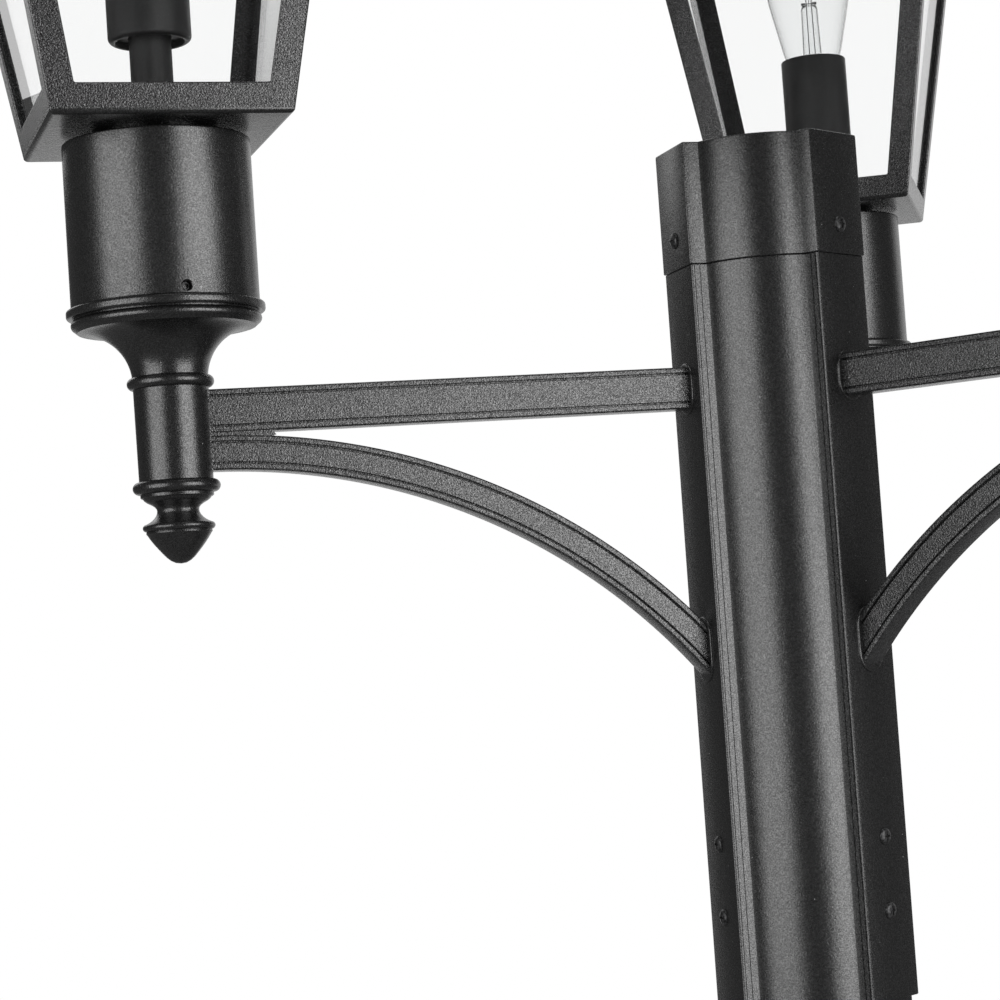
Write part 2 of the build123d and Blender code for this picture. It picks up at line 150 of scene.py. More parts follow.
ARM_HEIGHT = sum(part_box("arm_bars"), Vector()).z / 2
TRAY_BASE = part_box("lantern_cage_rear")[0].z
CAGE_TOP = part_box("lantern_cage_rear")[1].z
LANTERN_REACH = sum(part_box("lamp_rear"), Vector()).y / 2


def at_arm(side):
    """From a frame on the post's axis at the arms' height, x out along the arm."""
    return Matrix.Translation((0, 0, ARM_HEIGHT)) @ Matrix.Rotation(azimuth_of(side), 4, "Z")


def at_lantern(side, height, turn=0):
    """From a frame on a lantern's axis, x pointing away from the post or turned from there."""
    azimuth = azimuth_of(side)
    centre = (LANTERN_REACH * math.cos(azimuth), LANTERN_REACH * math.sin(azimuth), height)
    return Matrix.Translation(centre) @ Matrix.Rotation(azimuth + math.radians(turn), 4, "Z")


def at_rib(azimuth, reach, height):
    """From a frame that lies on a rib's face, z pointing out of it and y up."""
    turned = Matrix.Rotation(math.radians(azimuth), 4, "Z")
    lie = Matrix(((0, 0, 1, 0), (1, 0, 0, 0), (0, 1, 0, 0), (0, 0, 0, 1)))
    return Matrix.Translation((0, 0, height)) @ turned @ Matrix.Translation((reach, 0, 0)) @ lie


# Materials

DUST_SCALE = 150
DUST_SHARE = 0.28


class Nodes:
    """A material under construction: adds nodes and links them."""

    def __init__(self, name):
        self.material = bpy.data.materials.new(name)
        self.material.use_nodes = True
        self.tree = self.material.node_tree
        self.shader = self.tree.nodes["Principled BSDF"]
        self.place = self.tree.nodes.new("ShaderNodeTexCoord").outputs["Object"]

    def add(self, kind, links=None, **values):
        node = self.tree.nodes.new(kind)
        for key, value in values.items():
            if key in node.inputs:
                node.inputs[key].default_value = value
            else:
                setattr(node, key, value)
        for key, socket in (links or {}).items():
            self.tree.links.new(socket, node.inputs[key])
        return node

    def noise(self, scale, detail=2.0, roughness=0.5):
        node = self.add("ShaderNodeTexNoise", {"Vector": self.place})
        node.inputs["Scale"].default_value = scale
        node.inputs["Detail"].default_value = detail
        node.inputs["Roughness"].default_value = roughness
        return node.outputs["Fac"]

    def split(self, colour):
        """Red channel of a colour."""
        return self.add("ShaderNodeSeparateColor", {"Color": colour}).outputs["Red"]

    def ramp(self, socket, low, high, colour_low, colour_high):
        node = self.add("ShaderNodeValToRGB", {"Fac": socket})
        node.color_ramp.elements[0].position = low
        node.color_ramp.elements[1].position = high
        node.color_ramp.elements[0].color = (*colour_low, 1)
        node.color_ramp.elements[1].color = (*colour_high, 1)
        return node.outputs["Color"]

    def span(self, socket, low, high):
        node = self.add("ShaderNodeMapRange", {"Value": socket})
        node.inputs["From Min"].default_value = 0.3
        node.inputs["From Max"].default_value = 0.7
        node.inputs["To Min"].default_value = low
        node.inputs["To Max"].default_value = high
        return node.outputs["Result"]

    def bump(self, socket, strength, distance, normal=None):
        node = self.add("ShaderNodeBump", {"Height": socket})
        node.inputs["Strength"].default_value = strength
        node.inputs["Distance"].default_value = distance
        if normal:
            self.tree.links.new(normal, node.inputs["Normal"])
        return node.outputs["Normal"]

    def use(self, **sockets):
        for key, socket in sockets.items():
            self.tree.links.new(socket, self.shader.inputs[key.replace("_", " ")])

    def set(self, **values):
        for key, value in values.items():
            self.shader.inputs[key.replace("_", " ")].default_value = value


def grey(value):
    """A grey with a trace of blue."""
    return (value, value, value * 1.02)


def dust(nodes, colour):
    """Sparse light specks, about half a millimetre wide, over a colour."""
    cells = nodes.add("ShaderNodeTexVoronoi", {"Vector": nodes.place})
    cells.inputs["Scale"].default_value = DUST_SCALE
    near = nodes.ramp(cells.outputs["Distance"], 0.025, 0.045, (1, 1, 1), (0, 0, 0))
    chosen = nodes.add("ShaderNodeMath", {0: nodes.split(cells.outputs["Color"])}, operation="GREATER_THAN")
    chosen.inputs[1].default_value = 1 - DUST_SHARE
    share = nodes.add("ShaderNodeMath", {0: near, 1: chosen.outputs[0]}, operation="MULTIPLY")
    mix = nodes.add("ShaderNodeMix", data_type="RGBA")
    nodes.tree.links.new(share.outputs[0], mix.inputs[0])
    nodes.tree.links.new(colour, mix.inputs[6])
    mix.inputs[7].default_value = (0.3, 0.3, 0.3, 1)
    return mix.outputs[2]


def powder_coat(name, dark, light, rough, relief, grain, shine):
    """Black powder coat: a fine grain in relief, glinting in places, with light specks of dust. Its base
    colour has lighter flecks that are partly the coat's grain and partly painted glints.
    """
    nodes = Nodes(name)
    specks = nodes.noise(grain, 2.0, 0.55)
    # Lighter flecks in the base colour: partly the coat's own grain, partly painted glints.
    colour = nodes.ramp(specks, 0.45, 0.65, grey(dark), grey(light))
    nodes.use(Base_Color=dust(nodes, colour))
    nodes.use(Roughness=nodes.span(nodes.noise(grain * 0.6, 2.0), rough - 0.03, rough + 0.03))
    uneven = nodes.bump(nodes.noise(120, 2.0), 0.2, 0.0005)
    nodes.use(Normal=nodes.bump(specks, 1.0, relief, uneven))
    glint = nodes.add("ShaderNodeMapRange", {"Value": nodes.noise(grain * 1.5, 2.0, 0.6)})
    glint.inputs["From Min"].default_value = 0.44
    glint.inputs["From Max"].default_value = 0.60
    glint.inputs["To Min"].default_value = shine[0]
    glint.inputs["To Max"].default_value = shine[1]
    nodes.set(IOR=1.5, Specular_IOR_Level=(shine[0] + shine[1]) / 2)
    nodes.use(Specular_IOR_Level=glint.outputs["Result"])
    return nodes.material


def smooth_black(name):
    """Smooth satin black of the lamp holders, with faint handling marks."""
    nodes = Nodes(name)
    marks = nodes.noise(900, 3.0)
    nodes.use(Base_Color=nodes.ramp(marks, 0.3, 0.7, grey(0.006), grey(0.012)))
    nodes.use(Roughness=nodes.span(nodes.noise(90, 3.0), 0.30, 0.42))
    nodes.use(Normal=nodes.bump(marks, 0.6, 0.00010))
    nodes.set(IOR=1.5, Specular_IOR_Level=0.9)
    return nodes.material


def black_oxide(name):
    """Blackened steel of the screws."""
    nodes = Nodes(name)
    wear = nodes.noise(900, 3.0)
    nodes.use(Base_Color=nodes.ramp(wear, 0.4, 0.75, grey(0.015), grey(0.09)))
    nodes.use(Roughness=nodes.span(nodes.noise(500, 2.0), 0.22, 0.42))
    nodes.use(Normal=nodes.bump(wear, 0.2, 0.0001))
    nodes.set(Metallic=0.55)
    return nodes.material


def zinc(name, bright=0.62):
    """Plated steel with a fine drawn grain."""
    nodes = Nodes(name)
    grain = nodes.noise(700, 4.0, 0.7)
    nodes.use(Base_Color=nodes.ramp(grain, 0.3, 0.7, grey(bright * 0.8), grey(bright)))
    nodes.use(Roughness=nodes.span(nodes.noise(260, 3.0), 0.28, 0.45))
    nodes.use(Normal=nodes.bump(grain, 0.15, 0.0002))
    nodes.set(Metallic=1.0)
    return nodes.material


def clear_glass(name, ior, low, high):
    """Clear glass with a barely visible waviness, which lets the lamps' light through."""
    nodes = Nodes(name)
    wave = nodes.noise(9, 1.0)
    nodes.use(Base_Color=nodes.ramp(wave, 0.3, 0.7, low, high))
    nodes.use(Normal=nodes.bump(wave, 0.02, 0.001))
    nodes.use(Roughness=nodes.span(wave, 0.0, 0.01))
    nodes.set(Transmission_Weight=1.0, IOR=ior)
    open_way = nodes.add("ShaderNodeBsdfTransparent")
    path = nodes.add("ShaderNodeLightPath")
    mix = nodes.add("ShaderNodeMixShader", {0: path.outputs["Is Shadow Ray"]})
    nodes.tree.links.new(nodes.shader.outputs[0], mix.inputs[1])
    nodes.tree.links.new(open_way.outputs[0], mix.inputs[2])
    out = nodes.tree.nodes["Material Output"]
    nodes.tree.links.new(mix.outputs[0], out.inputs["Surface"])
    return nodes.material


def plated(name):
    """Plated metal of the lamp caps."""
    nodes = Nodes(name)
    grain = nodes.noise(600, 3.0)
    nodes.use(Base_Color=nodes.ramp(grain, 0.3, 0.7, (0.62, 0.55, 0.42), (0.78, 0.72, 0.6)))
    nodes.use(Roughness=nodes.span(grain, 0.2, 0.35))
    nodes.set(Metallic=1.0)
    return nodes.material


COAT = powder_coat("black_powder_coat", 0.004, 0.030, 0.21, 0.00018, 1400, (0.32, 1.5))
COAT_FINE = powder_coat("fine_black_powder_coat", 0.004, 0.012, 0.27, 0.00008, 1400, (0.55, 1.3))
FITTING = smooth_black("smooth_black")
SCREW = black_oxide("black_oxide_screw")
ZINC = zinc("zinc_plate")
CAP_METAL = plated("lamp_cap_metal")
WIRE = zinc("lamp_wire", 0.45)
PANE = clear_glass("pane_glass", 1.28, (0.990, 0.993, 0.992), (0.995, 0.998, 0.997))
BULB = clear_glass("lamp_glass", 1.36, (0.98, 0.985, 0.985), (0.99, 0.995, 0.995))


# Mesh helpers


def skin(bm, loops, close_ends=True, ring=False):
    """Faces between loops of equally many points, with flat ends, or joined last to first."""
    rows = [[bm.verts.new(point) for point in loop] for loop in loops]
    pairs = list(zip(rows, rows[1:]))
    if ring:
        pairs.append((rows[-1], rows[0]))
    count = len(rows[0])
    for low, high in pairs:
        for i in range(count):
            j = (i + 1) % count
            bm.faces.new((low[i], low[j], high[j], high[i]))
    if close_ends and not ring:
        bm.faces.new(rows[0][::-1])
        bm.faces.new(rows[-1])
    return rows


def lathe(bm, profile, ring=False, segments=ROUND):
    """Solid of revolution about z from (radius, height) points, with flat ends or a closed profile."""
    angles = [math.tau * i / segments for i in range(segments)]
    loops = [[(r * math.cos(a), r * math.sin(a), z) for a in angles] for r, z in profile]
    skin(bm, loops, ring=ring)


def arc(x, y, radius, start, end, steps):
    """Points on an arc about (x, y), angles in degrees."""
    angles = [math.radians(start + (end - start) * i / steps) for i in range(steps + 1)]
    return [(x + radius * math.cos(a), y + radius * math.sin(a)) for a in angles]


def mm(points):
    """Points in millimetres as metres."""
    return [tuple(value * MM for value in point) for point in points]


def finish_piece(name, bm, material, body, replaces=(), place=None, bevel=0.0, smooth=SMOOTH_ANGLE):
    """Turns a bmesh into a piece that rides on a body, with soft edges where it asks for them."""
    bmesh.ops.recalc_face_normals(bm, faces=bm.faces)
    mesh = bpy.data.meshes.new(name)
    if place is not None:
        bm.transform(place)
    bm.to_mesh(mesh)
    bm.free()
    piece = bpy.data.objects.new(name, mesh)
    bpy.context.scene.collection.objects.link(piece)
    mesh.materials.append(material)
    dress(piece, bevel, smooth)
    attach(piece, body)
    if replaces:
        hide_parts(*replaces)
    return piece


def dress(piece, bevel, smooth=SMOOTH_ANGLE):
    """Smooth shading up to an angle, and rounded edges where bevel is over 0."""
    piece.data.polygons.foreach_set("use_smooth", [True] * len(piece.data.polygons))
    piece.data.set_sharp_from_angle(angle=math.radians(smooth))
    if bevel > 0:
        rounding = piece.modifiers.new("edge", "BEVEL")
        rounding.width = bevel
        rounding.segments = 2
        rounding.limit_method = "ANGLE"
        rounding.angle_limit = math.radians(30)
        weighting = piece.modifiers.new("shading", "WEIGHTED_NORMAL")
        weighting.keep_sharp = True


def carve(piece, cutters):
    """Cuts the cutters out of a piece for good and deletes them."""
    for cutter in cutters:
        cut = piece.modifiers.new("cut", "BOOLEAN")
        cut.operation = "DIFFERENCE"
        cut.solver = "EXACT"
        cut.object = cutter
    graph = bpy.context.evaluated_depsgraph_get()
    graph.update()
    carved = bpy.data.meshes.new_from_object(piece.evaluated_get(graph))
    piece.modifiers.clear()
    piece.data = carved
    for cutter in cutters:
        bpy.data.objects.remove(cutter)
    dress(piece, 0)


def cutter(bm, place):
    """A short-lived object for carve."""
    bmesh.ops.recalc_face_normals(bm, faces=bm.faces)
    bm.transform(place)
    mesh = bpy.data.meshes.new("cutter")
    bm.to_mesh(mesh)
    bm.free()
    made = bpy.data.objects.new("cutter", mesh)
    bpy.context.scene.collection.objects.link(made)
    return made


def brick(bm, low, high):
    """Rectangular block between two corners."""
    (x0, y0, z0), (x1, y1, z1) = low, high
    outline = [(x0, y0), (x1, y0), (x1, y1), (x0, y1)]
    skin(bm, [[(x, y, z) for x, y in outline] for z in (z0, z1)])


# Post


def rib_outline(inset, grooves=()):
    """Outline of the ribbed tube moved in by an inset, with fine grooves along the ribs' sides."""
    radius = BULGE_RADIUS - inset
    reach = RIB_REACH - inset
    half = RIB_WIDTH / 2 - inset
    foot_angle = math.degrees(math.asin(half / radius))
    corner = RIB_CORNER
    points = []
    for azimuth in RIB_AZIMUTHS:
        side = []
        for groove in sorted(grooves):
            depth = GROOVE_DEPTH if groove in GROOVES else 0
            place = groove - inset
            side += [(place - GROOVE_HALF, half), (place - GROOVE_HALF, half - depth)]
            side += [(place + GROOVE_HALF, half - depth), (place + GROOVE_HALF, half)]
        side += arc(reach - corner, half - corner, corner, 90, 0, 3)
        local = [(x, -y) for x, y in side] + side[::-1]
        turn = math.radians(azimuth)
        points += [
            (x * math.cos(turn) - y * math.sin(turn), x * math.sin(turn) + y * math.cos(turn))
            for x, y in local
        ]
        points += arc(0, 0, radius, azimuth + foot_angle, azimuth + 120 - foot_angle, BULGE_STEPS)
    return points


def level(points, z):
    """Flat points at a height."""
    return [(x, y, z) for x, y in points]


def ribbed_tube(name, inset, wall, low, high, replaces, grooves=(), roof=0.0, proud=0.0):
    """Ribbed tube with softened end edges, closed by a top plate where roof is over 0."""
    bm = bmesh.new()
    flat = [groove + 1e-9 for groove in grooves]
    outer = rib_outline(inset - proud, grooves)
    outer_edge = rib_outline(inset - proud + TUBE_EDGE, flat)
    inner = rib_outline(inset + wall, flat)
    loops = [level(inner, low), level(outer_edge, low), level(outer, low + TUBE_EDGE)]
    if roof:
        middle = rib_outline(inset - proud + TUBE_EDGE / 3, flat)
        loops += [
            level(outer, high - 3 * TUBE_EDGE),
            level(middle, high - TUBE_EDGE),
            level(rib_outline(inset - proud + 2 * TUBE_EDGE, flat), high),
        ]
        rows = skin(bm, loops, close_ends=False)
        bm.faces.new(rows[-1])
        under = [bm.verts.new(point) for point in level(inner, high - roof)]
        count = len(under)
        for i in range(count):
            j = (i + 1) % count
            bm.faces.new((rows[0][j], rows[0][i], under[i], under[j]))
        bm.faces.new(under)
    else:
        loops += [level(outer, high - TUBE_EDGE), level(outer_edge, high), level(inner, high)]
        skin(bm, loops, ring=True)
    finish_piece(name, bm, COAT_FINE, "post", replaces, smooth=TUBE_SMOOTH_ANGLE)


def build_post():
    low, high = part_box("pole")
    ribbed_tube("pole_tube", POLE_INSET, POLE_WALL, low.z, high.z, ["pole"])
    low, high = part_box("arm_sleeve")
    ribbed_tube("sleeve", 0, SLEEVE_WALL, low.z, high.z - SLEEVE_TOP_GAP, ["arm_sleeve"], GROOVES)
    low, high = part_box("post_cap")
    ribbed_tube(
        "top_cap", 0, SLEEVE_WALL, low.z, high.z, ["post_cap"], roof=CAP_TOP, proud=CAP_PROUD
    )


def pan_screw(name, place, replaces):
    """Pan head with a cross recess and a fine step under it."""
    bm = bmesh.new()
    profile = [(3.1, -0.05), (3.9, 0.0), (3.9, 0.45), (3.75, 0.75), (3.2, 1.25), (2.3, 1.6), (1.1, 1.78)]
    profile += [(0.2, 1.82)]
    lathe(bm, mm(profile), segments=40)
    head = finish_piece(name, bm, SCREW, "post", replaces, place)
    cuts = []
    for long_x, long_y in ((2.1, 0.42), (0.42, 2.1)):
        bm = bmesh.new()
        brick(bm, (-long_x * MM, -long_y * MM, 0.7 * MM), (long_x * MM, long_y * MM, 3 * MM))
        cuts.append(cutter(bm, place))
    carve(head, cuts)


def build_screws():
    for azimuth in RIB_AZIMUTHS:
        low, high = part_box("cap_screws")
        place = at_rib(azimuth, RIB_REACH + CAP_PROUD, (low.z + high.z) / 2)
        pan_screw(f"cap_screw_{azimuth}", place, ["cap_screws"])
        low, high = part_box("sleeve_screws")
        for number, height in enumerate((high.z - SLEEVE_SCREW_INSET, low.z + SLEEVE_SCREW_INSET), start=1):
            place = at_rib(azimuth, RIB_REACH, height)
            pan_screw(f"sleeve_screw_{azimuth}_{number}", place, ["sleeve_screws"])


# Arms


def rail_section(half_height, half_width):
    """Half of a rail's section, from its top middle to its bottom middle: rims, dark lines and web."""
    line_top = half_height - RIM_HEIGHT
    line_low = line_top - LINE_WIDTH
    web = half_width - WEB_RECESS
    groove = half_width - LINE_DEPTH
    lip = EDGE_ROUND / 4
    edge = arc(half_width - EDGE_ROUND, half_height - EDGE_ROUND, EDGE_ROUND, 90, 0, 4)
    line = [
        (half_width, line_top + lip),
        (half_width - lip, line_top),
        (groove, line_top),
        (groove, line_low),
        (web - lip, line_low),
        (web, line_low - lip),
    ]
    upper = [(0, half_height)] + edge + line
    return upper + [(x, -z) for x, z in upper[::-1]]


def whole_section(half_height, half_width):
    """Closed section of a rail as (across, up) points."""
    half = rail_section(half_height, half_width)
    return half + [(-x, z) for x, z in half[-2:0:-1]]


def to_collar(across):
    """How far out a rail runs before it meets the hub's round collar, at a distance across it."""
    radius = COLLAR_RADIUS + COLLAR_GAP
    return LANTERN_REACH - math.sqrt(radius**2 - across**2)


def build_foot(name, side, half_length, height):
    """Rounded pad between an arm and its rib, with a softened outer edge."""
    bm = bmesh.new()
    straight = half_length - FOOT_HALF_WIDTH
    loops = []
    for out, inset in mm([(0, 0), (0.4, 0.05), (0.65, 0.2), (0.8, 0.5), (0.85, 1.0)]):
        radius = FOOT_HALF_WIDTH - inset
        outline = arc(0, straight, radius, 0, 180, 14) + arc(0, -straight, radius, 180, 360, 14)
        loops.append([(RIB_REACH + out, y, z + height) for y, z in outline])
    skin(bm, loops)
    finish_piece(f"{name}_{side}", bm, COAT_FINE, "post", (), at_arm(side))


def seam(bm, half_height, middle):
    """Thin raised seam where a rail meets the hub's collar."""
    across = BAR_HALF_WIDTH + SEAM_PROUD
    end = to_collar(across)
    start = end - SEAM_THICKNESS
    brick(bm, (start, -across, middle - half_height), (end + MM, across, middle + half_height))


def build_bar(side):
    bm = bmesh.new()
    section = whole_section(BAR_HALF_HEIGHT, BAR_HALF_WIDTH)
    loops = [
        [(ARM_START, y, z + BAR_RAISED) for y, z in section],
        [(to_collar(y), y, z - BAR_LOWERED) for y, z in section],
    ]
    skin(bm, loops)
    seam(bm, BAR_HALF_HEIGHT, -BAR_LOWERED)
    build_foot("bar_foot", side, BAR_FOOT_HALF, BAR_RAISED)
    finish_piece(f"bar_{side}", bm, COAT, "post", ["arm_bars"], at_arm(side))


def build_brace(side):
    """Arch with a rimmed section, its foot, and a gusset that fills the corner at the hub."""
    bm = bmesh.new()
    section = whole_section(ARCH_HALF, BAR_HALF_WIDTH)
    centre_x, centre_z = ARCH_CENTRE
    first = math.acos((ARM_START - centre_x) / ARCH_RADIUS)
    loops = []
    for step in range(ARCH_STEPS + 1):
        share = step / ARCH_STEPS
        loop = []
        for y, out in section:
            radius = ARCH_RADIUS + out
            low = math.acos((ARM_START - centre_x) / radius)
            high = math.acos((to_collar(y) - centre_x) / radius)
            angle = low + (high - low) * share
            loop.append((centre_x + radius * math.cos(angle), y, centre_z + radius * math.sin(angle)))
        loops.append(loop)
    skin(bm, loops)
    middle = centre_z + ARCH_RADIUS * math.sin(first)
    build_foot("brace_foot", side, BRACE_FOOT_HALF, middle)
    seam(bm, ARCH_HALF, centre_z + ARCH_RADIUS)
    outer = ARCH_RADIUS + ARCH_HALF
    slit = to_collar(0) - GUSSET_LENGTH
    gusset_end = to_collar(GUSSET_HALF_WIDTH)
    outline = arc(slit, GUSSET_TOP - SLIT_RADIUS, SLIT_RADIUS, 90, -70, 8)
    for share in (0.1, 0.3, 0.5, 0.75, 1.0):
        x = slit + SLIT_RADIUS + (gusset_end - slit - SLIT_RADIUS) * share
        outline.append((x, centre_z + math.sqrt(outer**2 - (x - centre_x) ** 2) - GUSSET_SINK))
    outline.append((gusset_end, GUSSET_TOP))
    skin(bm, [[(x, y, z) for x, z in outline] for y in (-GUSSET_HALF_WIDTH, GUSSET_HALF_WIDTH)])
    finish_piece(f"brace_{side}", bm, COAT, "post", ["arm_braces"], at_arm(side))


# Turned hub, acorn and cup


def hub_profile():
    ring = [(30, 46.7), (43.2, 46.7)] + arc(43.1, 45.5, 1.2, 80, 0, 4) + arc(43.1, 43.9, 1.2, 0, -90, 4)
    gap = [(41.0, 42.6), (41.0, 42.1)]
    bead = arc(40.2, 39.8, 2.3, 80, -60, 7)
    bell = arc(39.8, 13.5, 23.0, 90, 180, 20)
    upper = arc(16.6, 12.7, 2.8, 100, -90, 12)
    lower = arc(16.7, -33.9, 2.8, 90, -90, 12)
    ends = [(16.3, -36.9), (16.3, -38.1), (15.8, -38.5)]
    return mm(ring + gap + bead + bell + upper + [(16.8, 9.9), (16.5, -31.1)] + lower + ends)


def acorn_profile():
    neck = [(15.4, -38.5), (14.7, -39.5), (13.4, -40.5), (11.6, -41.4), (10.2, -42.4), (9.5, -43.3)]
    neck += [(9.3, -44.2), (9.45, -45.3), (10.0, -46.5), (11.0, -47.7), (12.2, -48.7), (13.4, -49.4)]
    neck += [(14.2, -49.8)]
    flange = arc(14.5, -51.6, 1.6, 80, -90, 8)
    nut = [(14.6, -53.4), (14.7, -54.3), (14.2, -54.8), (13.1, -56.6), (11.4, -59.0), (9.7, -61.1)]
    tip = [(8.0, -63.1), (6.2, -65.1), (4.4, -66.6), (2.4, -67.6), (0.3, -67.9)]
    return mm(neck + flange + nut + tip)


def cup_profile(shoulder_top):
    base = [(41.0, 46.9), (41.8, 47.0), (42.0, 47.4), (42.0, 119.6)]
    shoulder = arc(41.2, 119.8, 0.8, 0, 90, 3) + [(28.5, 120.6), (28.0, 121.0)]
    return mm(base + shoulder + [(28.0, shoulder_top)])


def build_hub(side):
    place = at_lantern(side, ARM_HEIGHT)
    bm = bmesh.new()
    lathe(bm, hub_profile())
    finish_piece(f"hub_{side}", bm, COAT_FINE, "post", ["arm_hubs"], place)
    bm = bmesh.new()
    lathe(bm, acorn_profile(), segments=64)
    finish_piece(f"acorn_{side}", bm, COAT_FINE, "post", ["acorn_finials"], place)


def build_cup(side):
    """Fitter cup with three set-screw holes near its foot."""
    place = at_lantern(side, ARM_HEIGHT)
    top = (TRAY_BASE - ARM_HEIGHT) / MM
    bm = bmesh.new()
    lathe(bm, cup_profile(top - 0.05), segments=128)
    cup = finish_piece(f"cup_{side}", bm, COAT_FINE, "post", ["fitter_cups"], place)
    cuts = []
    for number in (1, 2, 3):
        turn = SET_SCREW_TURN[side] + 120 * number
        out = Matrix.Rotation(math.radians(turn), 4, "Z")
        out = out @ Matrix.Translation((SET_SCREW_REACH, 0, SET_SCREW_HEIGHT))
        out = place @ out @ Matrix.Rotation(math.pi / 2, 4, "Y")
        bm = bmesh.new()
        shaft = [(SET_SCREW_RADIUS, 0), (SET_SCREW_RADIUS, 4.5 * MM)]
        hole = shaft + [(SET_SCREW_MOUTH, 5.1 * MM), (SET_SCREW_MOUTH, 8 * MM)]
        lathe(bm, hole, segments=32)
        cuts.append(cutter(bm, out))
        bm = bmesh.new()
        socket = [(1.1, 1.2), (1.1, 0.2), (2.0, 0.2), (2.1, 0.5), (2.1, 1.4), (1.8, 1.7), (1.2, 1.7)]
        lathe(bm, mm(socket), ring=True, segments=24)
        finish_piece(f"cup_screw_{side}_{number}", bm, SCREW, "post", (), out)
    carve(cup, cuts)


# Lantern


def cage_half(height):
    """Half of the tapering cage's width at a height."""
    return CAGE_HALF + CAGE_TAPER * height


def rounded_square(height, half):
    """A level square with rounded corners."""
    centre = half - TRAY_CORNER
    points = []
    for turn, (x, y) in zip(TURNS, QUADRANTS):
        points += arc(x * centre, y * centre, TRAY_CORNER, turn, turn + 90, 5)
    return [(x, y, height) for x, y in points]


def build_cage(side):
    """Four sloping frames in one mesh, and the tray that they stand on."""
    cage_height = CAGE_TOP - TRAY_BASE
    bm = bmesh.new()
    levels = (CAGE_FOOT, BOTTOM_RAIL, cage_height - TOP_RAIL, cage_height)
    corners, openings = {}, {}
    for skin_name, inset in (("outer", 0.0), ("inner", ANGLE_WALL)):
        for row, height in enumerate(levels):
            half = cage_half(height) - inset
            for corner, (x, y) in enumerate(QUADRANTS):
                corners[skin_name, row, corner] = bm.verts.new((x * half, y * half, height))
        for turn in range(4):
            angle = math.radians(90 * turn)
            cos, sin = round(math.cos(angle)), round(math.sin(angle))
            for row in (1, 2):
                half = cage_half(levels[row])
                for end, across in ((0, half - ANGLE_WIDTH), (1, ANGLE_WIDTH - half)):
                    x, y = half - inset, across
                    spot = (x * cos - y * sin, x * sin + y * cos, levels[row])
                    openings[skin_name, turn, row, end] = bm.verts.new(spot)
    for turn in range(4):
        left, right = turn, (turn + 3) % 4
        for skin_name in ("outer", "inner"):
            at_left = [corners[skin_name, row, left] for row in range(4)]
            at_right = [corners[skin_name, row, right] for row in range(4)]
            low_left, low_right = [openings[skin_name, turn, 1, end] for end in (0, 1)]
            high_left, high_right = [openings[skin_name, turn, 2, end] for end in (0, 1)]
            bm.faces.new((at_left[0], at_left[1], low_left, low_right, at_right[1], at_right[0]))
            bm.faces.new((at_left[1], at_left[2], high_left, low_left))
            bm.faces.new((at_right[1], at_right[2], high_right, low_right))
            bm.faces.new((at_left[2], at_left[3], at_right[3], at_right[2], high_right, high_left))
        edge = ((1, 0), (1, 1), (2, 1), (2, 0))
        for first, second in zip(edge, edge[1:] + edge[:1]):
            bm.faces.new(
                (
                    openings["outer", turn, first[0], first[1]],
                    openings["outer", turn, second[0], second[1]],
                    openings["inner", turn, second[0], second[1]],
                    openings["inner", turn, first[0], first[1]],
                )
            )
        for row in (0, 3):
            bm.faces.new(
                (
                    corners["outer", row, left],
                    corners["outer", row, right],
                    corners["inner", row, right],
                    corners["inner", row, left],
                )
            )
    place = at_lantern(side, TRAY_BASE)
    finish_piece(f"cage_{side}", bm, COAT, "post", [f"lantern_cage_{side}"], place, CAGE_BEVEL)
    bm = bmesh.new()
    rim = arc(cage_half(TRAY_THICKNESS) - TRAY_THICKNESS, TRAY_THICKNESS, TRAY_THICKNESS, -90, 0, 8)
    skin(bm, [rounded_square(height, half) for half, height in rim])
    finish_piece(f"tray_{side}", bm, COAT_FINE, "post", (), place)


def build_panes(side):
    """Four panes of clear glass that stand behind the frames, with ground edges."""
    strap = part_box(f"roof_strap_{side}")[0].z - TRAY_BASE
    low, high = PANE_BASE, strap - PANE_HEAD_GAP
    slope = math.atan(CAGE_TAPER)
    depth = (ANGLE_WALL + PANE_GAP) / math.cos(slope)
    thick = PANE_THICKNESS / math.cos(slope)
    margin = ANGLE_WALL + PANE_THICKNESS + 2 * PANE_GAP
    for number, turn in enumerate(TURNS, start=1):
        bm = bmesh.new()
        loops = []
        for inset in (depth, depth + thick):
            loop = []
            for height, sign in ((low, -1), (low, 1), (high, 1), (high, -1)):
                half = cage_half(height)
                loop.append((half - inset, sign * (half - margin), height))
            loops.append(loop)
        skin(bm, loops)
        place = at_lantern(side, TRAY_BASE, turn)
        name = f"glass_pane_{side}_{number}"
        finish_piece(f"pane_{side}_{number}", bm, PANE, "post", [name], place, PANE_BEVEL)


def build_holder(side):
    """Stem tube and the lamp holder's cover, with its rounded rim and recessed foot."""
    place = at_lantern(side, TRAY_BASE)
    bm = bmesh.new()
    foot = [(9.0, 2.0), (12.6, 2.0), (12.6, 3.6), (12.2, 4.0)]
    tube = [(9.5, 4.1), (9.5, 47.8), (8.2, 48.0), (8.2, 2.0)]
    lathe(bm, mm(foot + tube), ring=True, segments=64)
    finish_piece(f"stem_{side}", bm, FITTING, "post", ["stem_tubes"], place)
    bm = bmesh.new()
    rim = arc(16.25, 45.7, 2.5, -90, 0, 6)
    top = [(18.75, 93.3), (18.4, 93.9), (17.9, 94.0), (13.7, 94.0), (13.6, 93.8), (13.6, 60.0)]
    floor = [(9.9, 60.0), (9.9, 45.6), (15.2, 45.6), (15.6, 43.4)]
    lathe(bm, mm(rim + top + floor), ring=True, segments=72)
    finish_piece(f"holder_{side}", bm, FITTING, "post", ["lamp_holders"], place)


